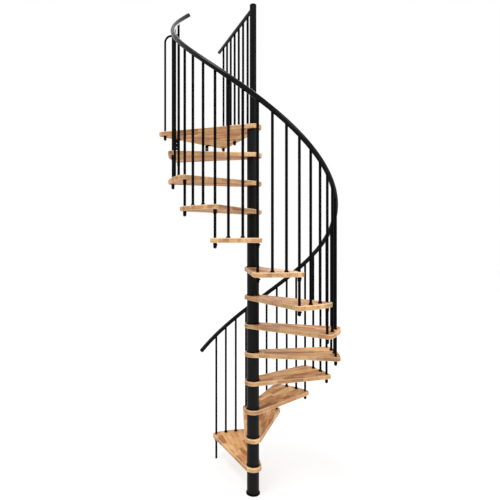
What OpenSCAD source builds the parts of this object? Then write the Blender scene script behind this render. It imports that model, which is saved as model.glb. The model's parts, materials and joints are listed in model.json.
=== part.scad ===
// Spiral staircase kit: wooden winder treads and steel spacers threaded on one
// central pole, long balusters that bolt each tread to the next, a helical
// handrail, and a wedge landing with a railing of its own.
// Seen from above the flight climbs clockwise. The origin is the middle of the
// foot flange's underside, on the lower floor, with +Z up.

/* [Flight] */
// Number of winding treads below the landing
tread_count = 12; // [8:1:14]
// Height from one walking surface to the next
rise = 235; // [210:1:250]
// Turn from one tread to the next, in degrees
tread_turn = 26.186; // [24:0.001:28]
// Bearing of the first baluster, in degrees
start_bearing = 117.59; // [90:0.01:150]
// Radius of the circle that the balusters stand on
baluster_circle_r = 664; // [600:1:750]

/* [Column] */
// Outside diameter of the central pole
pole_d = 55; // [48:0.5:58]
// Wall of the central pole
pole_wall = 4; // [3:0.5:6]
// Height of the pole's top above the landing
pole_above_landing = 1004; // [940:1:1050]
// Height of the cap on the pole
pole_cap_h = 12; // [8:0.5:18]
// Diameter of the foot flange
foot_d = 115; // [108:1:140]
// Height of the foot flange
foot_h = 10; // [6:0.5:16]
// Outside diameter of the spacer tubes between the treads
spacer_d = 100; // [90:0.5:106]
// Wall of the spacer tubes
spacer_wall = 3; // [2:0.5:5]
// Diameter of the flared ring under each spacer
ring_d = 110; // [107:0.5:116]
// Height of a ring's rim at either end of a spacer
ring_h = 6; // [4:0.5:12]
// Depth of a ring's plug inside the spacer
ring_plug = 14; // [8:0.5:24]
// Diameter of the locking ring on the landing
lock_ring_d = 62; // [60:0.5:70]
// Height of the locking ring on the landing
lock_ring_h = 18; // [12:0.5:26]

/* [Treads] */
// Thickness of the treads and the landing
tread_t = 34; // [28:0.5:45]
// Radius of the collar that a tread has around the column
collar_r = 71; // [66:0.5:80]
// Radius of a tread's outer corners
corner_r = 30; // [24:0.5:38]
// How far a tread's outer edge is outside the baluster circle
tread_overhang = 38; // [32:0.5:46]
// Radius of the rounded edges of the wood
edge_r = 5; // [2:0.5:9]

/* [Balusters] */
// Number of balusters from one tread to the next
balusters_per_tread = 3; // [2:1:4]
// Diameter of a baluster
baluster_d = 20; // [16:0.5:24]
// How far a through baluster ends below the lower tread
stub_h = 39; // [30:0.5:60]
// Bevel round the lower end of a baluster
baluster_bevel = 2; // [0.5:0.5:4]
// Diameter of the bell foot of a standing baluster
bell_d = 32; // [28:0.5:40]
// Height of the bell foot of a standing baluster
bell_h = 13; // [8:0.5:20]
// Diameter of the clamp collar under a tread
clamp_d = 26; // [25:0.5:34]
// Height of the clamp collar under a tread
clamp_h = 33; // [20:0.5:36]
// Diameter of the screw boss on a clamp collar
boss_d = 10; // [7:0.5:14]
// How far the screw boss stands out of its clamp collar
boss_out = 5; // [3:0.5:8]

/* [Handrail] */
// Diameter of the handrail
rail_d = 38; // [34:0.5:50]
// Height of the handrail's middle above a tread, at its first baluster
rail_above_tread = 957; // [900:1:1000]
// How far the handrail runs on below the first baluster, along the circle
rail_lead = 167; // [100:1:220]
// How far the handrail runs on past the last baluster, along the circle
rail_tail = 178; // [100:1:220]
// Number of lengths that the handrail is joined from
rail_lengths = 6; // [4:1:8]
// Thickness of the caps on the ends of the rails
rail_cap_t = 9; // [6:0.5:12]

/* [Landing] */
// Turn from the landing's front line to its railing, in degrees
landing_turn = 55.25; // [40:0.1:70]
// How far outside the last baluster the grab bar stands
grab_bar_reach = 127; // [100:1:160]
// How far outside the grab bar the landing's front corner is centred
landing_front_out = 18; // [8:0.5:26]
// Radius of the outermost landing baluster
landing_last_r = 760; // [700:1:820]
// Radius of the innermost landing baluster
landing_first_r = 120; // [105:1:150]
// Number of landing balusters
landing_baluster_count = 7; // [4:3:10]
// Radius of the landing's outer corners
landing_corner_r = 35; // [28:0.5:42]
// Diameter of the landing rail
landing_rail_d = 34; // [30:0.5:44]
// How far the landing rail's middle is below the top of the pole
landing_rail_drop = 32; // [24:0.5:60]
// How far the landing rail runs on past its last baluster
landing_rail_over = 126; // [60:1:180]
// Diameter of the grab bar
grab_bar_d = 18; // [14:0.5:22]
// Height of the grab bar's level part above the landing
grab_bar_h = 843; // [700:1:900]
// Bend radius of the grab bar
grab_bar_bend = 50; // [35:1:65]

/* [Brackets] */
// Width of a bracket that ties the landing to the upper floor
bracket_w = 38; // [30:0.5:60]
// Height of a bracket's upright leg
bracket_h = 92; // [84:0.5:110]
// Length of a bracket's level leg
bracket_leg = 44; // [36:0.5:80]
// Thickness of a bracket
bracket_t = 4; // [3:0.5:6]
// Diameter of the anchor holes in a bracket
bracket_hole_d = 9; // [7:0.5:12]
// How far the upper anchor hole is below the top of a bracket
bracket_hole_drop = 30; // [20:0.5:36]
// Pitch of the two anchor holes in a bracket
bracket_hole_pitch = 38; // [24:0.5:42]

/* [Hidden] */
$fn = 64;

// Gap between pieces that slide over one another
slide_gap = 0.3;
// Gap between a coped end and the tube that it meets
cope_gap = 0.2;
// How far every cut runs past the faces that it opens
overrun = 2;

// Sides and steps of the faceted sweeps, and of the rounded wood edges
rail_sides = 16;
rail_steps = 13;
wood_sides = 32;
edge_steps = 2;
// Steps of a tread's round outer edge, and of a rail cap's rounded end
outer_steps = 6;
cap_steps = 3;

// Where along the landing's outer edge the brackets are
bracket_shares = [0.237, 0.738];
// How far a rail cap's rounded edge reaches in, as a share of its thickness
cap_edge_share = 0.6;
// How far the pole cap's bevel reaches down, as a share of the cap's height
pole_cap_bevel_share = 0.25;
// How far a ring's or collar's edge is bevelled, as a share of its height
bevel_share = 0.3;
// Height of a bell foot's straight rim, as a share of the foot's height
bell_rim_share = 0.3;
// How far down its collar a screw boss is, as a share of the collar's height
boss_share = 0.4;
// Bevel of the locking ring, as a share of its wall
lock_bevel_share = 0.3;

pole_r = pole_d / 2;
baluster_r = baluster_d / 2;
rail_r = rail_d / 2;
landing_rail_r = landing_rail_d / 2;
grab_bar_rod_r = grab_bar_d / 2;
grab_bar_r = baluster_circle_r + grab_bar_reach;
lock_ring_bevel = (lock_ring_d - pole_d) / 2 * lock_bevel_share;
tread_corner_r = baluster_circle_r + tread_overhang - corner_r;

landing_top = (tread_count + 1) * rise;
pole_top = landing_top + pole_above_landing;
landing_rail_z = pole_top - landing_rail_drop;

baluster_turn = tread_turn / balusters_per_tread;
last_baluster = tread_count * balusters_per_tread;
front_bearing = bearing(last_baluster);
railing_bearing = front_bearing - landing_turn;

// Slope and ends of the handrail's helix, counted in balusters
step_arc = baluster_circle_r * baluster_turn * PI / 180;
rail_slope = atan2(rise / balusters_per_tread, step_arc);
rail_from = -rail_lead / step_arc;
rail_to = last_baluster + rail_tail / step_arc;
length_span = (rail_to - rail_from) / rail_lengths;

// The landing's outer corners, and the bearing of its outer edge
landing_front = polar(grab_bar_r + landing_front_out, front_bearing);
landing_back = polar(landing_last_r, railing_bearing);
landing_edge = landing_back - landing_front;
edge_bearing = atan2(landing_edge[1], landing_edge[0]);

landing_pitch = (landing_last_r - landing_first_r) / (landing_baluster_count - 1);
// Beyond the innermost, every third landing baluster goes through the wood. The others
// stand on it.
landing_through = [for (j = [0:landing_baluster_count - 1]) if (landing_goes_through(j)) j];
landing_standing = [for (j = [0:landing_baluster_count - 1]) if (!landing_goes_through(j)) j];

wood_colour = "burlywood";
steel_colour = "#26272a";
trim_colour = "#101011";
rail_colour = "#1b1b1d";

function numbered(name, k) = str(name, k < 10 ? "_0" : "_", k);
function polar(r, a) = [r * cos(a), r * sin(a)];

// Bearing of baluster i, and the heights of the handrail and of a walking surface
function bearing(i) = start_bearing - baluster_turn * i;
function rail_z(i) = rise + rail_above_tread + rise * i / balusters_per_tread;
function walk_z(k) = k * rise;
function tread_below(i) = floor(i / balusters_per_tread) + 1;
function is_through(i) = i % balusters_per_tread == 0;
function landing_goes_through(j) = j > 0 && j % 3 == 0;

// Point j of the ring around the handrail's helix at place i
function rail_point(i, j) =
    let (
        a = bearing(i),
        turn = j * 360 / rail_sides,
        out = baluster_circle_r + rail_r * cos(turn),
        side = rail_r * sin(turn) * sin(rail_slope),
        up = rail_r * sin(turn) * cos(rail_slope)
    )
    [out * cos(a) - side * sin(a), out * sin(a) + side * cos(a), rail_z(i) + up];

module at_bearing(r, a, z)
    rotate([0, 0, a])
        translate([r, 0, z])
            children();

module at_baluster(i, z)
    at_bearing(baluster_circle_r, bearing(i), z)
        children();

// Places +Z along the handrail at place i, uphill
module on_rail(i)
    at_baluster(i, rail_z(i))
        rotate([90 - rail_slope, 0, 0])
            children();

module at_landing_baluster(j, z)
    at_bearing(landing_first_r + j * landing_pitch, railing_bearing, z)
        children();

module tube(r_out, r_in, h)
    difference() {
        cylinder(r = r_out, h = h);
        translate([0, 0, -overrun])
            cylinder(r = r_in, h = h + 2 * overrun);
    }

// A ring bevelled round its upper edge by the length cut
module bevelled_ring(r_out, r_in, h, cut)
    rotate_extrude()
        polygon([[r_in, 0], [r_out, 0], [r_out, h - cut], [r_out - cut, h], [r_in, h]]);

// A bell foot, which narrows from its rim up to the baluster
module bell_foot()
    rotate_extrude() {
        bore_r = baluster_r + slide_gap;
        neck_r = bore_r + (bell_d / 2 - bore_r) * bell_rim_share;
        polygon([
            [bore_r, 0],
            [bell_d / 2, 0],
            [bell_d / 2, bell_h * bell_rim_share],
            [neck_r, bell_h],
            [bore_r, bell_h]
        ]);
    }

// A disc of wood with rounded edges, from which the treads are drawn
module wood_disc(r)
    rotate_extrude($fn = wood_sides)
        polygon(concat(
            [[0, 0]],
            [for (s = [0:edge_steps]) edge_arc(r, s * 90 / edge_steps - 90, edge_r)],
            [for (s = [0:edge_steps]) edge_arc(r, s * 90 / edge_steps, tread_t - edge_r)],
            [[0, tread_t]]
        ));

function edge_arc(r, a, z) = [r - edge_r + edge_r * cos(a), z + edge_r * sin(a)];

// A hole through the thickness of the wood, for a rod of diameter d
module bore(d)
    translate([0, 0, -overrun])
        cylinder(d = d + 2 * slide_gap, h = tread_t + 2 * overrun);

module foot_flange()
    color(trim_colour) {
        cylinder(d = foot_d, h = foot_h);
        cylinder(r = pole_r - pole_wall - slide_gap, h = foot_h + ring_plug);
    }

module central_pole()
    color(steel_colour)
        translate([0, 0, foot_h])
            tube(pole_r, pole_r - pole_wall, pole_top - foot_h - pole_cap_h);

module pole_cap()
    color(trim_colour)
        translate([0, 0, pole_top - pole_cap_h]) {
            rotate_extrude()
                polygon([
                    [0, 0],
                    [pole_r, 0],
                    [pole_r, pole_cap_h * (1 - pole_cap_bevel_share)],
                    [pole_r - pole_cap_h * pole_cap_bevel_share, pole_cap_h],
                    [0, pole_cap_h]
                ]);
            translate([0, 0, -ring_plug])
                cylinder(r = pole_r - pole_wall - slide_gap, h = ring_plug);
        }

// Lower and upper height of the gap that spacer k fills
function gap_from(k) = k == 1 ? foot_h : walk_z(k - 1);
function gap_to(k) = walk_z(k) - tread_t;

module spacer(k)
    color(steel_colour)
        translate([0, 0, gap_from(k) + ring_h])
            tube(spacer_d / 2, spacer_d / 2 - spacer_wall, gap_to(k) - gap_from(k) - 2 * ring_h);

// Rim and plug of one ring, rim down, bevelled towards the plug
module centring_ring(rim_d)
    difference() {
        union() {
            bevelled_ring(rim_d / 2, pole_r + slide_gap, ring_h, ring_h * bevel_share);
            cylinder(r = spacer_d / 2 - spacer_wall - slide_gap, h = ring_h + ring_plug);
        }
        translate([0, 0, -overrun])
            cylinder(r = pole_r + slide_gap, h = ring_h + ring_plug + 2 * overrun);
    }

// The ring under a spacer is flared, and the one on top is flush with it. One more ring
// locks the landing down on the column.
module centring_rings()
    color(trim_colour) {
        for (k = [1:tread_count + 1]) {
            translate([0, 0, gap_from(k)])
                centring_ring(ring_d);
            translate([0, 0, gap_to(k)])
                mirror([0, 0, 1])
                    centring_ring(spacer_d);
        }
        translate([0, 0, landing_top])
            bevelled_ring(lock_ring_d / 2, pole_r + slide_gap, lock_ring_h, lock_ring_bevel);
    }

// Turns the children to the middle of tread k, with +X along the tread
module at_tread(k)
    rotate([0, 0, start_bearing - tread_turn * (k - 1 / 2)])
        translate([0, 0, walk_z(k) - tread_t])
            children();

module tread(k)
    color(wood_colour)
        at_tread(k)
            difference() {
                hull() {
                    wood_disc(collar_r);
                    for (s = [0:outer_steps])
                        at_bearing(tread_corner_r, tread_turn * (s / outer_steps - 1 / 2), 0)
                            wood_disc(corner_r);
                }
                bore(pole_d);
                for (side = [-1, 1])
                    at_bearing(baluster_circle_r, side * tread_turn / 2, 0)
                        bore(baluster_d);
            }

module landing()
    color(wood_colour)
        translate([0, 0, landing_top - tread_t])
            difference() {
                hull() {
                    wood_disc(collar_r);
                    translate(landing_front)
                        wood_disc(landing_corner_r);
                    translate(landing_back)
                        wood_disc(landing_corner_r);
                }
                bore(pole_d);
                at_baluster(last_baluster, 0)
                    bore(baluster_d);
                at_bearing(grab_bar_r, front_bearing, 0)
                    bore(grab_bar_d);
                for (j = landing_through)
                    at_landing_baluster(j, 0)
                        bore(baluster_d);
            }

// One length of the handrail, swept along the helix
module handrail(s)
    color(rail_colour) {
        from = rail_from + (s - 1) * length_span;
        points = [
            for (n = [0:rail_steps])
                for (j = [0:rail_sides - 1])
                    rail_point(from + length_span * n / rail_steps, j)
        ];
        walls = [
            for (n = [0:rail_steps - 1])
                for (j = [0:rail_sides - 1])
                    let (
                        a = n * rail_sides + j,
                        b = n * rail_sides + (j + 1) % rail_sides
                    )
                    each [[a, b + rail_sides, b], [a, a + rail_sides, b + rail_sides]]
        ];
        ends = [
            [for (j = [0:rail_sides - 1]) j],
            [for (j = [0:rail_sides - 1]) (rail_steps + 1) * rail_sides - 1 - j]
        ];
        polyhedron(points = points, faces = concat(walls, ends));
    }

// A cap on the end of a rail, standing on the rail's end face
module rail_cap(r)
    rotate_extrude()
        polygon(concat(
            [[0, 0], [r, 0]],
            [for (s = [0:cap_steps]) cap_arc(r, s * 90 / cap_steps)],
            [[0, rail_cap_t]]
        ));

function cap_arc(r, a) =
    let (round_r = rail_cap_t * cap_edge_share)
    [r - round_r + round_r * cos(a), rail_cap_t - round_r + round_r * sin(a)];

module rail_caps()
    color(trim_colour) {
        on_rail(rail_from)
            mirror([0, 0, 1])
                rail_cap(rail_r);
        on_rail(rail_to)
            rail_cap(rail_r);
        at_bearing(landing_last_r + landing_rail_over, railing_bearing, landing_rail_z)
            rotate([0, 90, 0])
                rail_cap(landing_rail_r);
    }

// A rod of radius r, bevelled round its lower end
module rod(r, h)
    rotate_extrude()
        polygon([[0, 0], [r - baluster_bevel, 0], [r, baluster_bevel], [r, h], [0, h]]);

// A baluster from height z up to the handrail, coped to its underside
module baluster(i, z)
    difference() {
        at_baluster(i, z)
            rod(baluster_r, rail_z(i) - z);
        on_rail(i)
            cylinder(r = rail_r + cope_gap, h = 2 * rail_d, center = true);
    }

// A through baluster holds the rear of one tread and the front of the next
module through_balusters()
    color(steel_colour) {
        baluster(0, 0);
        for (k = [1:tread_count])
            baluster(k * balusters_per_tread, walk_z(k) - tread_t - stub_h);
    }

module standing_balusters()
    color(steel_colour)
        for (i = [0:last_baluster])
            if (!is_through(i))
                baluster(i, walk_z(tread_below(i)));

module baluster_feet()
    color(trim_colour)
        for (i = [0:last_baluster])
            if (!is_through(i))
                at_baluster(i, walk_z(tread_below(i)))
                    bell_foot();

module landing_feet()
    color(trim_colour)
        for (j = landing_standing)
            at_landing_baluster(j, landing_top)
                bell_foot();

// A clamp collar hangs under the wood, with a screw boss towards +Y
module clamp_collar(rod_r)
    difference() {
        union() {
            mirror([0, 0, 1])
                bevelled_ring(clamp_d / 2, rod_r + slide_gap, clamp_h, baluster_bevel);
            translate([0, 0, -clamp_h * boss_share])
                rotate([-90, 0, 0])
                    cylinder(d = boss_d, h = clamp_d / 2 + boss_out);
        }
        translate([0, 0, -clamp_h - overrun])
            cylinder(r = rod_r + slide_gap, h = clamp_h + 2 * overrun);
    }

// The screw bosses on the flight face downhill
module clamp_collars()
    color(trim_colour) {
        for (k = [1:tread_count])
            for (i = [k - 1, k] * balusters_per_tread)
                at_baluster(i, walk_z(k) - tread_t)
                    clamp_collar(baluster_r);
        at_baluster(last_baluster, landing_top - tread_t)
            clamp_collar(baluster_r);
        at_bearing(grab_bar_r, front_bearing, landing_top - tread_t)
            clamp_collar(grab_bar_rod_r);
        for (j = landing_through)
            at_landing_baluster(j, landing_top - tread_t)
                clamp_collar(baluster_r);
    }

module landing_rail()
    color(rail_colour)
        difference() {
            at_bearing(0, railing_bearing, landing_rail_z)
                rotate([0, 90, 0])
                    cylinder(r = landing_rail_r, h = landing_last_r + landing_rail_over);
            cylinder(r = pole_r + cope_gap, h = pole_top);
        }

module landing_balusters()
    color(steel_colour)
        for (j = [0:landing_baluster_count - 1])
            let (z = landing_goes_through(j) ? landing_top - tread_t - stub_h : landing_top)
                difference() {
                    at_landing_baluster(j, z)
                        rod(baluster_r, landing_rail_z - z);
                    at_landing_baluster(j, landing_rail_z)
                        rotate([0, 90, 0])
                            cylinder(r = landing_rail_r + cope_gap, h = 2 * landing_rail_d, center = true);
                }

// A rod that rises through the landing and bends level to meet the last baluster
module grab_bar()
    color(steel_colour)
        difference() {
            rotate([0, 0, front_bearing]) {
                bar_z = landing_top - tread_t - stub_h;
                bend_z = landing_top + grab_bar_h - grab_bar_bend;
                bend_r = grab_bar_r - grab_bar_bend;
                translate([grab_bar_r, 0, bar_z])
                    rod(grab_bar_rod_r, bend_z - bar_z);
                translate([bend_r, 0, bend_z])
                    rotate([90, 0, 0])
                        rotate_extrude(angle = 90)
                            translate([grab_bar_bend, 0])
                                circle(r = grab_bar_rod_r);
                translate([baluster_circle_r, 0, bend_z + grab_bar_bend])
                    rotate([0, 90, 0])
                        cylinder(r = grab_bar_rod_r, h = bend_r - baluster_circle_r);
            }
            at_baluster(last_baluster, landing_top)
                cylinder(r = baluster_r + cope_gap, h = rail_z(last_baluster) - landing_top);
        }

// An angle bracket under the landing, its upright leg flush with the outer edge
module floor_bracket()
    difference() {
        union() {
            translate([-bracket_leg, -bracket_w / 2, -bracket_t])
                cube([bracket_leg, bracket_w, bracket_t]);
            translate([-bracket_t, -bracket_w / 2, -bracket_h])
                cube([bracket_t, bracket_w, bracket_h]);
        }
        for (drop = [bracket_hole_drop, bracket_hole_drop + bracket_hole_pitch])
            translate([-bracket_t - overrun, 0, -drop])
                rotate([0, 90, 0])
                    cylinder(d = bracket_hole_d, h = bracket_t + 2 * overrun);
    }

module floor_brackets()
    color(trim_colour)
        for (share = bracket_shares)
            translate(concat(landing_front + landing_edge * share, landing_top - tread_t))
                rotate([0, 0, edge_bearing + 90])
                    translate([landing_corner_r, 0, 0])
                        floor_bracket();

foot_flange();
central_pole();
pole_cap();
centring_rings();
for (k = [1:tread_count + 1])
    spacer(k);
for (k = [1:tread_count])
    tread(k);
landing();
for (s = [1:rail_lengths])
    handrail(s);
rail_caps();
through_balusters();
standing_balusters();
baluster_feet();
clamp_collars();
landing_rail();
landing_balusters();
landing_feet();
grab_bar();
floor_brackets();
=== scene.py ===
import json
import math

import bmesh
import bpy
from mathutils import Matrix, Vector
from mathutils.geometry import delaunay_2d_cdt


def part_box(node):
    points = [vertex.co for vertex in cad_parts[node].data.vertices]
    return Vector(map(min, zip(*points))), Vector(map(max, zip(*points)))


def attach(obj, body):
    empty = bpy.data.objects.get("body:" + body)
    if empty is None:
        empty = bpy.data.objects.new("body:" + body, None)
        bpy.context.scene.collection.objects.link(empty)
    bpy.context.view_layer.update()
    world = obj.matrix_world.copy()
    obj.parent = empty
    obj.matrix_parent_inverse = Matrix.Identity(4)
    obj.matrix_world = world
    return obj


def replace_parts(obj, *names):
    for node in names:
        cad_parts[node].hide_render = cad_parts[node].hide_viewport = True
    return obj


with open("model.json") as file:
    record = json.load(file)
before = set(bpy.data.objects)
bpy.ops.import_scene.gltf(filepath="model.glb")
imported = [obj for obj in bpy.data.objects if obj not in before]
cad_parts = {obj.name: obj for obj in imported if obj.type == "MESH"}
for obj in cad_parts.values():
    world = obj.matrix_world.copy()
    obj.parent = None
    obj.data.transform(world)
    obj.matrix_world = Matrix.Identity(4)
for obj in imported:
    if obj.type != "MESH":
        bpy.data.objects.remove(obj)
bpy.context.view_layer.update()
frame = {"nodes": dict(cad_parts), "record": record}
nodes = frame["nodes"]
print("frame loaded with", len(nodes), "nodes")

# the flight's layout, in metres and degrees, with heights read from the frame
flight = {
    "treadCount": 12,
    "treadTurn": 26.186,
    "firstBearing": 117.59,
    "circleRadius": 0.664,
    "balustersPerTread": 3,
    "rise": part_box("tread_01")[1].z,
    "boardThickness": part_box("tread_01")[1].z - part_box("tread_01")[0].z,
}
origin = Vector((0, 0, 0))  # where the pole stands
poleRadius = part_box("central_pole")[1].x


def balusterBearing(place):
    return flight["firstBearing"] - place * flight["treadTurn"] / flight["balustersPerTread"]


def polar(radius, bearing, height=0.0):
    angle = math.radians(bearing)
    return Vector((radius * math.cos(angle), radius * math.sin(angle), height))


def toneOf(red, green, blue):
    # a display colour from 0 to 255, as the linear values that a shader takes
    def linear(value):
        share = value / 255
        return share / 12.92 if share <= 0.04045 else ((share + 0.055) / 1.055) ** 2.4
    return (linear(red), linear(green), linear(blue), 1.0)


white = toneOf(255, 255, 255)


# small helpers that keep the node trees short
def startFinish(name):
    finish = bpy.data.materials.new(name)
    finish.use_nodes = True
    tree = finish.node_tree
    tree.nodes.clear()
    output = tree.nodes.new("ShaderNodeOutputMaterial")
    shader = tree.nodes.new("ShaderNodeBsdfPrincipled")
    tree.links.new(shader.outputs["BSDF"], output.inputs["Surface"])
    return finish, tree, shader


def feed(tree, socket, value):
    if isinstance(value, bpy.types.NodeSocket):
        tree.links.new(value, socket)
    else:
        socket.default_value = value


def calc(tree, operation, *values):
    node = tree.nodes.new("ShaderNodeMath")
    node.operation = operation
    for socket, value in zip(node.inputs, values):
        feed(tree, socket, value)
    return node.outputs["Value"]


def vectorCalc(tree, operation, *values):
    node = tree.nodes.new("ShaderNodeVectorMath")
    node.operation = operation
    for socket, value in zip(node.inputs, values):
        feed(tree, socket, value)
    return node.outputs["Value" if operation == "LENGTH" else "Vector"]


def mapRange(tree, value, low, high, newLow, newHigh):
    node = tree.nodes.new("ShaderNodeMapRange")
    node.interpolation_type = "SMOOTHSTEP"
    for socket, item in zip(node.inputs, (value, low, high, newLow, newHigh)):
        feed(tree, socket, item)
    return node.outputs["Result"]


def noise(tree, vector, scale, detail, roughness, distortion=0.0):
    node = tree.nodes.new("ShaderNodeTexNoise")
    feed(tree, node.inputs["Vector"], vector)
    node.inputs["Scale"].default_value = scale
    node.inputs["Detail"].default_value = detail
    node.inputs["Roughness"].default_value = roughness
    node.inputs["Distortion"].default_value = distortion
    return node.outputs["Fac"]


def whiteNoise(tree, vector):
    node = tree.nodes.new("ShaderNodeTexWhiteNoise")
    node.noise_dimensions = "3D"
    feed(tree, node.inputs["Vector"], vector)
    return node.outputs["Value"], node.outputs["Color"]


def attribute(tree, name):
    node = tree.nodes.new("ShaderNodeAttribute")
    node.attribute_name = name
    return node


def joinParts(tree, *values):
    node = tree.nodes.new("ShaderNodeCombineXYZ")
    for socket, value in zip(node.inputs, values):
        feed(tree, socket, value)
    return node.outputs["Vector"]


def mixTone(tree, blend, factor, first, second):
    node = tree.nodes.new("ShaderNodeMix")
    node.data_type = "RGBA"
    node.blend_type = blend
    feed(tree, node.inputs["Factor"], factor)
    feed(tree, node.inputs["A"], first)
    feed(tree, node.inputs["B"], second)
    return node.outputs["Result"]


def ramp(tree, value, stops):
    node = tree.nodes.new("ShaderNodeValToRGB")
    elements = node.color_ramp.elements
    while len(elements) < len(stops):
        elements.new(0.5)
    for element, (place, tone) in zip(elements, stops):
        element.position = place
        element.color = tone
    feed(tree, node.inputs["Fac"], value)
    return node.outputs["Color"]


def bump(tree, height, strength, distance):
    node = tree.nodes.new("ShaderNodeBump")
    node.inputs["Strength"].default_value = strength
    node.inputs["Distance"].default_value = distance
    feed(tree, node.inputs["Height"], height)
    return node.outputs["Normal"]


# finger-jointed hardwood: short staves glued side by side, each with a tone of its own
woodLook = {
    "staveWidth": 0.038,
    "staveLength": 0.16,
    "lengthSpread": (0.65, 1.35),
    "fingerPitch": 0.007,
    "fingerDepth": 0.006,
    "rowShuffle": 40.0,  # how many staves the rows may be shifted by
    "staveShuffle": 60.0,  # how far apart the staves take their grain
    "staveSeed": 3.0,
    "tones": (
        (0.00, toneOf(188, 127, 76)),
        (0.18, toneOf(212, 155, 101)),
        (0.40, toneOf(231, 179, 125)),
        (0.62, toneOf(241, 193, 136)),
        (0.84, toneOf(249, 209, 155)),
        (1.00, toneOf(213, 149, 97)),
    ),
    # noises along, across and through the board, with detail, roughness and distortion
    "broadGrain": ((4.0, 75.0, 75.0), 4.0, 0.6, 0.6),
    "fineGrain": ((16.0, 520.0, 520.0), 3.0, 0.6, 0.3),
    "poreGrain": ((70.0, 1500.0, 1500.0), 2.0, 0.5, 0.0),
    "cloudGrain": ((3.0, 11.0, 11.0), 2.0, 0.5, 0.0),
    "streaks": (
        (0.22, toneOf(140, 114, 92)),
        (0.35, toneOf(208, 192, 176)),
        (0.50, toneOf(244, 240, 236)),
        (0.70, white),
    ),
    "streakDepth": 0.85,
    "threads": ((0.32, toneOf(218, 206, 194)), (0.62, white)),
    "threadDepth": 0.6,
    "poreStops": (0.60, 0.72),
    "poreTone": toneOf(150, 112, 82),
    "poreDepth": 0.35,
    "patches": ((0.36, toneOf(204, 194, 184)), (0.48, toneOf(250, 248, 246)), (0.57, white)),
    "glueLine": 0.0008,
    "glueTone": toneOf(140, 100, 70),
    "glueDepth": 0.6,
    "sheenMask": {"face": 0.0, "side": 0.5, "rim": 1.0},  # share of painted sheen and painted highlight that the faces, sides and rims carry
    # painted sheen makes the sides greyer, and a painted highlight makes the rims paler
    "sideSheenTone": toneOf(180, 156, 124),
    "sideSheenDepth": 0.28,
    "rimHighlightTone": toneOf(246, 224, 194),
    "rimHighlightDepth": 0.5,
    "rimPolish": -0.06,  # makes the roughness less, in full at the rims
    "lacquerStops": (0.3, 0.7),
    "lacquerRough": (0.38, 0.55),
    "specular": 0.05,
    "grainRelief": 0.5,
    "poreRelief": 0.5,
    "reliefStrength": 0.3,
    "reliefDistance": 0.0003,
}


def lineGap(tree, place, spacing):
    # how far a place is from the nearest joint
    nearest = calc(tree, "FLOOR", calc(tree, "ADD", place, 0.5))
    gap = calc(tree, "ABSOLUTE", calc(tree, "SUBTRACT", place, nearest))
    return calc(tree, "MULTIPLY", gap, spacing)


def staveLayout(tree, along, across):
    look = woodLook
    # rows of staves, each row with its own length and offset
    rowPlace = calc(tree, "DIVIDE", across, look["staveWidth"])
    row = calc(tree, "FLOOR", rowPlace)
    rowValue, rowTone = whiteNoise(tree, joinParts(tree, row))
    rowParts = tree.nodes.new("ShaderNodeSeparateColor")
    feed(tree, rowParts.inputs["Color"], rowTone)
    shortest, longest = look["lengthSpread"]
    length = calc(tree, "MULTIPLY_ADD", rowValue, (longest - shortest) * look["staveLength"],
                  shortest * look["staveLength"])
    # the zigzag of the finger joints shifts the ends of the staves
    halfPitch = look["fingerPitch"] / 2
    zigzag = calc(tree, "PINGPONG", across, halfPitch)
    shifted = calc(tree, "MULTIPLY_ADD", zigzag, look["fingerDepth"] / halfPitch, along)
    offset = calc(tree, "MULTIPLY", rowParts.outputs["Green"], look["rowShuffle"])
    endPlace = calc(tree, "ADD", calc(tree, "DIVIDE", shifted, length), offset)
    block = calc(tree, "FLOOR", endPlace)
    staveValue, staveTone = whiteNoise(tree, joinParts(tree, block, row, look["staveSeed"]))
    # hairlines of glue along the rows and across the joints
    gap = calc(tree, "MINIMUM", lineGap(tree, rowPlace, look["staveWidth"]), lineGap(tree, endPlace, length))
    glue = mapRange(tree, gap, 0.0, look["glueLine"], 1.0, 0.0)
    return staveValue, staveTone, glue


def grainNoise(tree, space, grain, shift=None):
    stretch, detail, roughness, distortion = grain
    stretched = vectorCalc(tree, "MULTIPLY", space, stretch)
    if shift is not None:
        stretched = vectorCalc(tree, "ADD", stretched, shift)
    return noise(tree, stretched, 1.0, detail, roughness, distortion)


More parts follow.
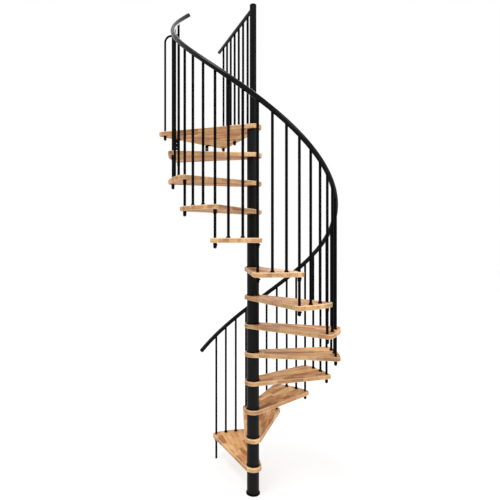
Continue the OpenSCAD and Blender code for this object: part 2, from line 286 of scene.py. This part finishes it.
def staveWood():
    look = woodLook
    finish, tree, shader = startFinish("stave_wood")
    space = attribute(tree, "grainSpace").outputs["Vector"]
    # where the boards carry painted sheen on the sides, a painted highlight on the rims, and polish
    sheenMask = attribute(tree, "edgeSheenMask").outputs["Fac"]
    parts = tree.nodes.new("ShaderNodeSeparateXYZ")
    feed(tree, parts.inputs["Vector"], space)
    staveValue, staveTone, glue = staveLayout(tree, parts.outputs["X"], parts.outputs["Y"])

    # grain runs along each stave and starts afresh in the next
    shift = vectorCalc(tree, "SCALE", staveTone)
    shift.node.inputs["Scale"].default_value = look["staveShuffle"]
    broad = grainNoise(tree, space, look["broadGrain"], shift)
    fine = grainNoise(tree, space, look["fineGrain"], shift)
    pores = mapRange(tree, grainNoise(tree, space, look["poreGrain"], shift), *look["poreStops"], 0.0, 1.0)
    tone = ramp(tree, staveValue, look["tones"])
    tone = mixTone(tree, "MULTIPLY", look["streakDepth"], tone, ramp(tree, broad, look["streaks"]))
    tone = mixTone(tree, "MULTIPLY", look["threadDepth"], tone, ramp(tree, fine, look["threads"]))
    poreDepth = calc(tree, "MULTIPLY", pores, look["poreDepth"])
    tone = mixTone(tree, "MULTIPLY", poreDepth, tone, look["poreTone"])

    # whole boards run darker and paler in long patches
    clouds = grainNoise(tree, space, look["cloudGrain"])
    tone = mixTone(tree, "MULTIPLY", 1.0, tone, ramp(tree, clouds, look["patches"]))
    glueDepth = calc(tree, "MULTIPLY", glue, look["glueDepth"])
    tone = mixTone(tree, "MULTIPLY", glueDepth, tone, look["glueTone"])

    # painted sheen makes the sides a little greyer than the faces, and a painted highlight makes the rims
    # paler
    face, side, rim = (look["sheenMask"][part] for part in ("face", "side", "rim"))
    sideSheenDepth = mapRange(tree, sheenMask, face, side, 0.0, look["sideSheenDepth"])
    tone = mixTone(tree, "MIX", sideSheenDepth, tone, look["sideSheenTone"])
    rimHighlightDepth = mapRange(tree, sheenMask, side, rim, 0.0, look["rimHighlightDepth"])
    tone = mixTone(tree, "MIX", rimHighlightDepth, tone, look["rimHighlightTone"])
    feed(tree, shader.inputs["Base Color"], tone)

    lacquer = mapRange(tree, fine, *look["lacquerStops"], *look["lacquerRough"])
    polished = calc(tree, "MULTIPLY_ADD", sheenMask, look["rimPolish"], lacquer)
    feed(tree, shader.inputs["Roughness"], polished)
    shader.inputs["Specular IOR Level"].default_value = look["specular"]
    relief = calc(tree, "SUBTRACT", calc(tree, "MULTIPLY", fine, look["grainRelief"]), glue)
    relief = calc(tree, "SUBTRACT", relief, calc(tree, "MULTIPLY", pores, look["poreRelief"]))
    feed(tree, shader.inputs["Normal"], bump(tree, relief, look["reliefStrength"], look["reliefDistance"]))
    return finish


# coated steel and black plastic: one recipe, five finishes
coatLooks = {
    "spacer_paint": {
        "tones": (toneOf(14, 15, 16), toneOf(20, 21, 22)),
        "rough": (0.42, 0.52), "specular": 0.11, "grain": 300.0, "relief": 0.01,
    },
    # painted shade: a darker copy of the spacer paint for the pole, which the key lamp lights more than the
    # spacers
    "pole_shaded_paint": {
        "tones": (toneOf(8, 9, 10), toneOf(13, 14, 15)),
        "rough": (0.44, 0.54), "specular": 0.06, "grain": 300.0, "relief": 0.01,
    },
    "baluster_coat": {
        "tones": (toneOf(6, 6, 7), toneOf(11, 11, 12)),
        "rough": (0.46, 0.56), "specular": 0.03, "grain": 300.0, "relief": 0.01,
    },
    "rail_sleeve": {
        "tones": (toneOf(2, 2, 3), toneOf(5, 5, 6)),
        "rough": (0.14, 0.22), "specular": 0.12, "grain": 300.0, "relief": 0.02,
    },
    "trim_plastic": {
        "tones": (toneOf(4, 4, 4), toneOf(9, 9, 9)),
        "rough": (0.50, 0.62), "specular": 0.05, "grain": 1200.0, "relief": 0.02,
    },
}
coatRecipe = {
    "cloud": (9.0, 4.0, 0.6),  # scale, detail and roughness
    "grain": (2.0, 0.5),  # detail and roughness, at each finish's own scale
    "toneStops": (0.35, 0.68),
    "speckStops": (0.42, 0.62),
    "speckTone": toneOf(170, 170, 172),
    "speckDepth": 0.3,
    "roughStops": (0.3, 0.7),
    "grainRough": 0.06,
    "reliefDistance": 0.0002,
}


def coatedBlack(name):
    look, recipe = coatLooks[name], coatRecipe
    finish, tree, shader = startFinish(name)
    place = tree.nodes.new("ShaderNodeTexCoord").outputs["Object"]
    cloud = noise(tree, place, *recipe["cloud"])
    grain = noise(tree, place, look["grain"], *recipe["grain"])
    tone = ramp(tree, cloud, tuple(zip(recipe["toneStops"], look["tones"])))
    specks = mapRange(tree, grain, *recipe["speckStops"], 0.0, 1.0)
    speckDepth = calc(tree, "MULTIPLY", specks, recipe["speckDepth"])
    tone = mixTone(tree, "MULTIPLY", speckDepth, tone, recipe["speckTone"])
    feed(tree, shader.inputs["Base Color"], tone)
    broadRough = mapRange(tree, cloud, *recipe["roughStops"], *look["rough"])
    rough = calc(tree, "MULTIPLY_ADD", grain, recipe["grainRough"], broadRough)
    feed(tree, shader.inputs["Roughness"], rough)
    shader.inputs["Specular IOR Level"].default_value = look["specular"]
    feed(tree, shader.inputs["Normal"], bump(tree, grain, look["relief"], recipe["reliefDistance"]))
    return finish


screwLook = {
    "cloud": (240.0, 3.0, 0.6),
    "tones": ((0.3, toneOf(40, 41, 43)), (0.7, toneOf(66, 67, 70))),
    "metallic": 0.8,
    "roughStops": (0.3, 0.7),
    "rough": (0.34, 0.5),
    "relief": 0.1,
    "reliefDistance": 0.0001,
}


def blackenedScrew():
    look = screwLook
    finish, tree, shader = startFinish("blackened_screw")
    place = tree.nodes.new("ShaderNodeTexCoord").outputs["Object"]
    cloud = noise(tree, place, *look["cloud"])
    feed(tree, shader.inputs["Base Color"], ramp(tree, cloud, look["tones"]))
    shader.inputs["Metallic"].default_value = look["metallic"]
    feed(tree, shader.inputs["Roughness"], mapRange(tree, cloud, *look["roughStops"], *look["rough"]))
    feed(tree, shader.inputs["Normal"], bump(tree, cloud, look["relief"], look["reliefDistance"]))
    return finish


woodFinish = staveWood()
coats = {name: coatedBlack(name) for name in coatLooks}
screwFinish = blackenedScrew()
print("finishes made")


# helpers for the meshes
def addObject(name, data):
    thing = bpy.data.objects.new(name, data)
    bpy.context.scene.collection.objects.link(thing)
    return thing


def addPiece(mesh, finish, sharpAngle):
    mesh.materials.append(finish)
    mesh.shade_smooth()
    mesh.set_sharp_from_angle(angle=math.radians(sharpAngle))
    piece = addObject(mesh.name, mesh)
    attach(piece, "root")
    return piece


def meshFrom(name, points, faces):
    mesh = bpy.data.meshes.new(name)
    mesh.from_pydata(points, [], faces)
    mesh.validate()
    work = bmesh.new()
    work.from_mesh(mesh)
    bmesh.ops.recalc_face_normals(work, faces=work.faces)
    work.to_mesh(mesh)
    work.free()
    return mesh


def addRing(points, ring):
    # the numbers of the ring's points
    start = len(points)
    points.extend(ring)
    return range(start, len(points))


def bridgeRings(faces, rings):
    # bands of faces from ring to ring, with a fan where a ring is one point
    for lower, upper in zip(rings, rings[1:]):
        sides = max(len(lower), len(upper))
        for side in range(sides):
            after = (side + 1) % sides
            corners = (lower[side % len(lower)], lower[after % len(lower)],
                       upper[after % len(upper)], upper[side % len(upper)])
            faces.append(tuple(dict.fromkeys(corners)))


def roundRing(centre, radius, sides, height=0.0):
    return [centre + polar(radius, 360 * side / sides, height) for side in range(sides)]


# boards: a rounded outline of arcs, an edge turned over top and bottom, and bored holes
boards = {
    "collarRadius": 0.071,
    "cornerRadius": 0.030,
    "overhang": 0.038,  # outer edge beyond the baluster circle
    "edgeRadius": 0.005,
    "edgeSteps": 6,
    "lip": 0.002,  # flat rim that keeps the shading of the faces level
    "arcStep": 4.0,  # degrees between outline points
    "treadGrain": (1, 2, 3, 56, 70, 45, 46, 34, 22, 75, 50, 64),  # where each board's grain is taken
    "landingGrain": 65.5,
    "grainStride": (0.7, 1.0, 0.3),  # from one place of the grain to the next
    "holeSides": 40,
    "holeGap": 0.0003,
    "holeChamfer": 0.0006,
    "samePoint": 1e-6,
    "fillTolerance": 1e-7,
    "sharpAngle": 35,
}
rods = {"balusterRadius": 0.010, "grabBarRadius": 0.009}


def outlinePoint(stop, inset):
    centre, radius, turn = stop
    return centre + polar(radius - inset, turn)


def outlineStops(arcs):
    # centre, radius and bearing of each outline point, without the double ones where arcs meet
    stops = []
    for centre, radius, start, end in arcs:
        steps = max(2, math.ceil((end - start) / boards["arcStep"]))
        for step in range(steps + 1):
            stop = (centre, radius, start + (end - start) * step / steps)
            if stops and (outlinePoint(stops[-1], 0) - outlinePoint(stop, 0)).length < boards["samePoint"]:
                continue
            stops.append(stop)
    return stops


def tangentBearing(first, second):
    # bearing of the outward normal where a line touches two discs, going counter-clockwise
    (firstCentre, firstRadius), (secondCentre, secondRadius) = first, second
    reach = secondCentre - firstCentre
    heading = math.degrees(math.atan2(reach.y, reach.x))
    return heading - math.degrees(math.acos((firstRadius - secondRadius) / reach.length))


def discArcs(discs):
    # the arcs of a taut outline round discs given counter-clockwise
    arcs = []
    for place, disc in enumerate(discs):
        start = tangentBearing(discs[place - 1], disc)
        end = tangentBearing(disc, discs[(place + 1) % len(discs)])
        arcs.append((*disc, start, start + (end - start) % 360))
    return arcs


def fillFaces(points, outline, holeRings):
    # triangles between an outline and its holes
    loops = [outline, *holeRings]
    order = [index for loop in loops for index in loop]
    edges, start = [], 0
    for loop in loops:
        edges += [(start + side, start + (side + 1) % len(loop)) for side in range(len(loop))]
        start += len(loop)
    flat = [points[index].to_2d() for index in order]
    _, _, triangles, sources, _, _ = delaunay_2d_cdt(flat, edges, [], 1, boards["fillTolerance"])
    faces = [tuple(order[sources[corner][0]] for corner in triangle) for triangle in triangles]
    # a face with all its corners on one hole's ring would close that hole
    return [face for face in faces if not any(set(face) <= set(ring) for ring in holeRings)]


def edgeProfile():
    # inset and height of each ring of a board's edge, from the lower face to the upper
    thickness, edge = flight["boardThickness"], boards["edgeRadius"]
    flat, steps = edge + boards["lip"], boards["edgeSteps"]
    quarter = [math.radians(90 * step / steps) for step in range(steps + 1)]
    lower = [(edge - edge * math.sin(angle), edge - edge * math.cos(angle)) for angle in quarter]
    upper = [(edge - edge * math.cos(angle), thickness - edge + edge * math.sin(angle)) for angle in quarter]
    return [(flat, 0.0), *lower, *upper, (flat, thickness)]


# how much painted sheen and painted highlight each ring of a board's edge carries
def sheenMaskAt(inset):
    sheenMask = woodLook["sheenMask"]
    if inset == 0.0:
        return sheenMask["side"]
    return sheenMask["rim"] if inset < boards["edgeRadius"] else sheenMask["face"]


def boreWall(points, faces, centre, radius):
    # a chamfered wall from the lower to the upper face, and its two rims
    thickness, chamfer, sides = flight["boardThickness"], boards["holeChamfer"], boards["holeSides"]
    bore = radius + boards["holeGap"]
    profile = ((bore + chamfer, 0.0), (bore, chamfer),
               (bore, thickness - chamfer), (bore + chamfer, thickness))
    rings = [addRing(points, roundRing(centre, reach, sides, height)) for reach, height in profile]
    bridgeRings(faces, rings)
    return rings[0], rings[-1]


def boardMesh(name, arcs, holes, turn, grainTurn, baseHeight, seed):
    points, faces, sheenMask, rings = [], [], [], []
    stops = outlineStops(arcs)
    for inset, height in edgeProfile():
        ring = [outlinePoint(stop, inset) + Vector((0, 0, height)) for stop in stops]
        rings.append(addRing(points, ring))
        sheenMask += [sheenMaskAt(inset)] * len(ring)
    bridgeRings(faces, rings)
    rims = [boreWall(points, faces, centre, radius) for centre, radius in holes]
    sheenMask += [woodLook["sheenMask"]["face"]] * (len(points) - len(sheenMask))
    faces += fillFaces(points, rings[0], [lower for lower, upper in rims])
    faces += fillFaces(points, rings[-1], [upper for lower, upper in rims])
    # grain coordinates stay in the board's own frame, a long way from the other boards'
    grainFrame = Matrix.Rotation(math.radians(-grainTurn), 3, "Z")
    away = Vector([stride * seed for stride in boards["grainStride"]])
    grain = [grainFrame @ point + away for point in points]
    place = Matrix.Translation((0, 0, baseHeight)) @ Matrix.Rotation(math.radians(turn), 4, "Z")
    mesh = meshFrom(name, [place @ point for point in points], faces)
    grainSpace = mesh.attributes.new("grainSpace", "FLOAT_VECTOR", "POINT")
    grainSpace.data.foreach_set("vector", [value for point in grain for value in point])
    # the share of painted sheen and painted highlight at each point of the board
    edgeSheenMask = mesh.attributes.new("edgeSheenMask", "FLOAT", "POINT")
    edgeSheenMask.data.foreach_set("value", sheenMask)
    return mesh


def makeTreads():
    half = flight["treadTurn"] / 2
    circle, cornerRadius = flight["circleRadius"], boards["cornerRadius"]
    reach = circle + boards["overhang"]
    collar = (origin, boards["collarRadius"])
    right = (polar(reach - cornerRadius, -half), cornerRadius)
    left = (polar(reach - cornerRadius, half), cornerRadius)
    fromCollar = tangentBearing(collar, right)
    toCollar = tangentBearing(left, collar) + 360
    arcs = [
        (*collar, toCollar, fromCollar + 360),
        (*right, fromCollar, -half),
        (origin, reach, -half, half),
        (*left, half, toCollar),
    ]
    holes = [(origin, poleRadius)]
    holes += [(polar(circle, bearing), rods["balusterRadius"]) for bearing in (-half, half)]
    for number, grain in enumerate(boards["treadGrain"], 1):
        node = f"tread_{number:02d}"
        bearing = flight["firstBearing"] - flight["treadTurn"] * (number - 0.5)
        mesh = boardMesh(f"tread_board_{number:02d}", arcs, holes, bearing, 0.0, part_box(node)[0].z, grain)
        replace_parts(addPiece(mesh, woodFinish, boards["sharpAngle"]), node)


landing = {
    "turn": 55.25,
    "grabBarReach": 0.127,
    "frontOut": 0.018,  # centre of the front corner beyond the grab bar
    "lastRadius": 0.760,
    "firstRadius": 0.120,
    "balusterCount": 7,
    "clampEvery": 3,  # every third baluster runs through the board
    "cornerRadius": 0.035,
    "railOver": 0.126,
}
landingFront = balusterBearing(flight["treadCount"] * flight["balustersPerTread"])
landingBack = landingFront - landing["turn"]


def landingRods():
    # distance from the pole, bearing and radius of each rod that runs through the landing
    yield flight["circleRadius"], landingFront, rods["balusterRadius"]
    yield flight["circleRadius"] + landing["grabBarReach"], landingFront, rods["grabBarRadius"]
    pitch = (landing["lastRadius"] - landing["firstRadius"]) / (landing["balusterCount"] - 1)
    for place in range(landing["clampEvery"], landing["balusterCount"], landing["clampEvery"]):
        yield landing["firstRadius"] + place * pitch, landingBack, rods["balusterRadius"]


def makeLanding():
    frontReach = flight["circleRadius"] + landing["grabBarReach"] + landing["frontOut"]
    collar = (origin, boards["collarRadius"])
    back = (polar(landing["lastRadius"], landingBack), landing["cornerRadius"])
    front = (polar(frontReach, landingFront), landing["cornerRadius"])
    holes = [(origin, poleRadius)]
    holes += [(polar(reach, bearing), radius) for reach, bearing, radius in landingRods()]
    mesh = boardMesh("landing_board", discArcs([collar, back, front]), holes, 0.0, landingFront,
                     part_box("landing")[0].z, boards["landingGrain"])
    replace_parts(addPiece(mesh, woodFinish, boards["sharpAngle"]), "landing")


makeTreads()
makeLanding()
print("boards made")

# handrail: one helical sweep with hairline joints between its lengths
handrail = {
    "radius": 0.019,
    "aboveTread": 0.957,
    "lead": 0.167,
    "tail": 0.178,
    "lengths": 6,
    "sides": 32,
    "stepsPerLength": 48,
    "jointDepth": 0.0005,
    "jointWidth": 0.0010,
    "sharpAngle": 60,
}
# level distance and slope of the rail from one baluster to the next
railStep = flight["circleRadius"] * math.radians(flight["treadTurn"] / flight["balustersPerTread"])
railSlope = math.atan2(flight["rise"] / flight["balustersPerTread"], railStep)
# first and last place of the helix, counted in balusters
railBegin = -handrail["lead"] / railStep
railEnd = flight["treadCount"] * flight["balustersPerTread"] + handrail["tail"] / railStep


def railStation(place):
    # middle of the rail, outward and level forward directions there
    outward = polar(1, balusterBearing(place))
    forward = Vector((outward.y, -outward.x, 0))
    climb = flight["rise"] * place / flight["balustersPerTread"]
    height = flight["rise"] + handrail["aboveTread"] + climb
    return outward * flight["circleRadius"] + Vector((0, 0, height)), outward, forward


def makeHandrail():
    span = (railEnd - railBegin) / handrail["lengths"]
    joint = handrail["jointWidth"] * math.cos(railSlope) / railStep
    steps = handrail["stepsPerLength"]
    stations = []
    for length in range(handrail["lengths"]):
        low, high = railBegin + length * span, railBegin + (length + 1) * span
        if length:
            stations.append((low, handrail["radius"] - handrail["jointDepth"]))
            low += joint
        if length < handrail["lengths"] - 1:
            high -= joint
        stations += [(low + (high - low) * step / steps, handrail["radius"]) for step in range(steps + 1)]
    points, faces, rings = [], [], []
    for place, radius in stations:
        middle, outward, forward = railStation(place)
        upward = Vector((0, 0, math.cos(railSlope))) - forward * math.sin(railSlope)
        circle = roundRing(origin, radius, handrail["sides"])
        rings.append(addRing(points, [middle + outward * point.x + upward * point.y for point in circle]))
    bridgeRings(faces, rings)
    faces += [tuple(rings[0]), tuple(rings[-1])]
    mesh = meshFrom("handrail_sweep", points, faces)
    piece = addPiece(mesh, coats["rail_sleeve"], handrail["sharpAngle"])
    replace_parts(piece, *[f"handrail_{number:02d}" for number in range(1, handrail["lengths"] + 1)])


makeHandrail()
print("handrail made")


# turned pieces: a profile of radius and height spun round an axis
def frameAt(place, axis):
    axis = axis.normalized()
    side = axis.orthogonal().normalized()
    spin = Matrix((side, axis.cross(side), axis)).transposed().to_4x4()
    return Matrix.Translation(place) @ spin


def turnProfile(points, faces, profile, sides, placed):
    # a radius of zero is one point, which closes the piece
    rings = []
    for radius, height in profile:
        ring = roundRing(origin, radius, sides, height)
        rings.append(addRing(points, [placed @ point for point in (ring if radius > 0 else ring[:1])]))
    bridgeRings(faces, rings)


# rounded caps on the ends of both rails
railCaps = {"thickness": 0.009, "round": 0.0055, "groove": 0.0005, "steps": 8, "sides": 40, "sharpAngle": 50}


def capProfile(radius):
    thick, turned, groove = railCaps["thickness"], railCaps["round"], railCaps["groove"]
    profile = [(0.0, 0.0), (radius - groove, 0.0), (radius - groove, groove), (radius, 2 * groove)]
    for step in range(railCaps["steps"] + 1):
        bend = polar(turned, 90 * step / railCaps["steps"])
        profile.append((radius - turned + bend.x, thick - turned + bend.y))
    return profile + [(0.0, thick)]


def makeRailCaps():
    caps = []
    for place, uphill in ((railBegin, -1), (railEnd, 1)):
        middle, outward, forward = railStation(place)
        axis = (forward * math.cos(railSlope) + Vector((0, 0, math.sin(railSlope)))) * uphill
        caps.append((handrail["radius"], frameAt(middle, axis)))
    low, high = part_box("landing_rail")
    tip = polar(landing["lastRadius"] + landing["railOver"], landingBack, (low.z + high.z) / 2)
    caps.append(((high.z - low.z) / 2, frameAt(tip, polar(1, landingBack))))
    points, faces = [], []
    for radius, placed in caps:
        turnProfile(points, faces, capProfile(radius), railCaps["sides"], placed)
    mesh = meshFrom("rail_end_caps", points, faces)
    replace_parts(addPiece(mesh, coats["trim_plastic"], railCaps["sharpAngle"]), "rail_caps")


makeRailCaps()

# socket screws in the bosses of the clamp collars, and pan heads under the brackets
screws = {
    "bossTip": 0.018,  # from the rod's middle to the end of a boss
    "bossDrop": 0.0132,  # below the wood
    "radius": 0.0032,
    "reach": 0.0016,
    "bevelShare": 0.3,
    "socket": 0.0017,
    "sides": 24,
    "headRadius": 0.0055,
    "headReach": 0.0028,
    "headShares": ((0.0, 0.0), (1.0, 0.0), (1.0, 0.35), (0.86, 0.78), (0.6, 1.0)),  # of radius and reach
    "headFloorShare": 0.3,
    "bracketDrop": 0.004,
    "headPlaces": ((0.018, 0.010), (0.018, -0.010), (0.034, 0.0)),  # behind the edge, and along it
    "sharpAngle": 30,
}


def socketProfile():
    radius, reach, socket = screws["radius"], screws["reach"], screws["socket"]
    bevel = reach * screws["bevelShare"]
    return [(0.0, -reach), (radius, -reach), (radius, reach - bevel), (radius - bevel, reach),
            (socket, reach), (socket, 0.0), (0.0, 0.0)]


def headProfile():
    radius, reach, socket = screws["headRadius"], screws["headReach"], screws["socket"]
    floor = reach * screws["headFloorShare"]
    dome = [(radius * across, reach * up) for across, up in screws["headShares"]]
    return dome + [(socket, reach), (socket, floor), (0.0, floor)]


def clampPlaces():
    # distance from the pole, bearing and board height of every rod that is clamped under the wood
    perTread = flight["balustersPerTread"]
    for number in range(1, flight["treadCount"] + 1):
        for place in ((number - 1) * perTread, number * perTread):
            yield flight["circleRadius"], balusterBearing(place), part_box(f"tread_{number:02d}")[0].z
    for reach, bearing, _ in landingRods():
        yield reach, bearing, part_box("landing")[0].z


def makeScrews():
    points, faces = [], []
    for reach, bearing, height in clampPlaces():
        facing = polar(1, bearing + 90)
        tip = polar(reach, bearing, height - screws["bossDrop"]) + facing * screws["bossTip"]
        turnProfile(points, faces, socketProfile(), screws["sides"], frameAt(tip, facing))
    down = Vector((0, 0, -1))
    for mount in frame["record"]["mounts"]:
        if mount["name"].endswith("_upper"):
            outward = Vector(mount["axis"])
            along = Vector((-outward.y, outward.x, 0))
            edge = Vector(mount["pos_m"])
            edge.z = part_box("landing")[0].z - screws["bracketDrop"]
            for behind, beside in screws["headPlaces"]:
                seat = edge - outward * behind + along * beside
                turnProfile(points, faces, headProfile(), screws["sides"], frameAt(seat, down))
    addPiece(meshFrom("clamp_screws", points, faces), screwFinish, screws["sharpAngle"])


makeScrews()
print("caps and screws made")

# finishes of the CAD nodes that stay
nodeCoats = {
    "spacer_paint": [name for name in nodes if name.startswith("spacer_")],
    # the pole takes the darker copy of the spacer paint, as painted shade
    "pole_shaded_paint": ["central_pole"],
    "baluster_coat": ["through_balusters", "standing_balusters", "landing_balusters", "grab_bar"],
    "rail_sleeve": ["landing_rail"],
    "trim_plastic": ["foot_flange", "pole_cap", "centring_rings", "baluster_feet", "landing_feet",
                     "clamp_collars", "floor_brackets"],
}


def dressNodes():
    for coat, names in nodeCoats.items():
        for name in names:
            nodes[name].data.materials.clear()
            nodes[name].data.materials.append(coats[coat])


dressNodes()
print("frame dressed")

# studio: white floor and world, a soft key lamp, a fill and a back lamp
studio = {
    "floorRadius": 40.0,
    "floorRings": 6,
    "floorSides": 96,
    "floorTone": 0.30,
    "floorMottle": 0.99,  # the darker tone of the floor, as a share of its tone
    "mottleNoise": (2.0, 3.0, 0.55),
    "mottleStops": (0.3, 0.7),
    "floorRough": 0.9,
    "floorLift": (0.69, 0.79),  # glow that makes the floor white, by the flight and far away
    "floorSpread": (1.0, 9.0),
    "floorBounce": 0.54,  # what the floor sends back up to the treads
    "worldAmbient": 0.72,
    "lamps": (
        {"name": "key", "place": (-4.2, -5.6, 16.5), "aim": (0, 0, 1.5), "size": 7.5, "watts": 1900.0},
        {"name": "fill", "place": (4.2, -4.2, 4.4), "aim": (0, 0, 1.4), "size": 3.5, "watts": 150.0},
        {"name": "back", "place": (0.6, 4.5, 5.2), "aim": (0, 0, 2.6), "size": 3.5, "watts": 90.0},
    ),
}


def seenRays(tree):
    # camera, glossy and transmission rays see the plain white background
    path = tree.nodes.new("ShaderNodeLightPath")
    seen = calc(tree, "MAXIMUM", path.outputs["Is Camera Ray"], path.outputs["Is Glossy Ray"])
    return calc(tree, "MAXIMUM", seen, path.outputs["Is Transmission Ray"])


def floorWhite():
    finish, tree, shader = startFinish("floor_white")
    place = tree.nodes.new("ShaderNodeTexCoord").outputs["Object"]
    light = studio["floorTone"]
    tones = [(level, level, level, 1.0) for level in (light * studio["floorMottle"], light)]
    mottle = noise(tree, place, *studio["mottleNoise"])
    feed(tree, shader.inputs["Base Color"], ramp(tree, mottle, tuple(zip(studio["mottleStops"], tones))))
    shader.inputs["Roughness"].default_value = studio["floorRough"]
    shader.inputs["Specular IOR Level"].default_value = 0.0
    shader.inputs["Emission Color"].default_value = white
    lift = mapRange(tree, vectorCalc(tree, "LENGTH", place), *studio["floorSpread"], *studio["floorLift"])
    bounce, seen = studio["floorBounce"], seenRays(tree)
    unseen = calc(tree, "MULTIPLY_ADD", seen, -bounce, bounce)
    feed(tree, shader.inputs["Emission Strength"], calc(tree, "MULTIPLY_ADD", seen, lift, unseen))
    return finish


def makeFloor():
    points, faces, rings = [], [], []
    rings.append(addRing(points, [origin]))
    for ring in range(1, studio["floorRings"] + 1):
        radius = studio["floorRadius"] * (ring / studio["floorRings"]) ** 2
        rings.append(addRing(points, roundRing(origin, radius, studio["floorSides"])))
    bridgeRings(faces, rings[::-1])  # from the rim inwards, so that the faces look up
    mesh = meshFrom("studio_floor", points, faces)
    mesh.materials.append(floorWhite())
    floor = addObject("studio_floor", mesh)


def makeWorld():
    world = bpy.data.worlds.new("studio_world")
    bpy.context.scene.world = world
    world.use_nodes = True
    tree = world.node_tree
    background = tree.nodes["Background"]
    background.inputs["Color"].default_value = white
    ambient = studio["worldAmbient"]
    strength = calc(tree, "MULTIPLY_ADD", seenRays(tree), 1.0 - ambient, ambient)
    feed(tree, background.inputs["Strength"], strength)


def makeLamps():
    for lamp in studio["lamps"]:
        light = bpy.data.lights.new(lamp["name"], "AREA")
        light.shape = "DISK"
        light.size = lamp["size"]
        light.energy = lamp["watts"]
        stand = addObject(lamp["name"], light)
        stand.location = lamp["place"]
        aim = Vector(lamp["aim"]) - Vector(lamp["place"])
        stand.rotation_euler = aim.to_track_quat("-Z", "Y").to_euler()


# camera: level, looking along +Y, with the framing kept by its shift
camera = {
    "place": (-0.29331, -3.65930, 2.08939),
    "tilt": 90,
    "lens": 31.680,
    "sensor": 36.0,
    "shift": (0.06444, -0.01664),
}


def makeCamera():
    view = bpy.data.cameras.new("camera")
    view.lens = camera["lens"]
    view.sensor_width = camera["sensor"]
    view.shift_x, view.shift_y = camera["shift"]
    stand = addObject("camera", view)
    stand.location = camera["place"]
    stand.rotation_euler = (math.radians(camera["tilt"]), 0, 0)
    bpy.context.scene.camera = stand


makeFloor()
makeWorld()
makeLamps()
makeCamera()
bpy.context.scene.view_settings.view_transform = "Standard"
print("studio set")
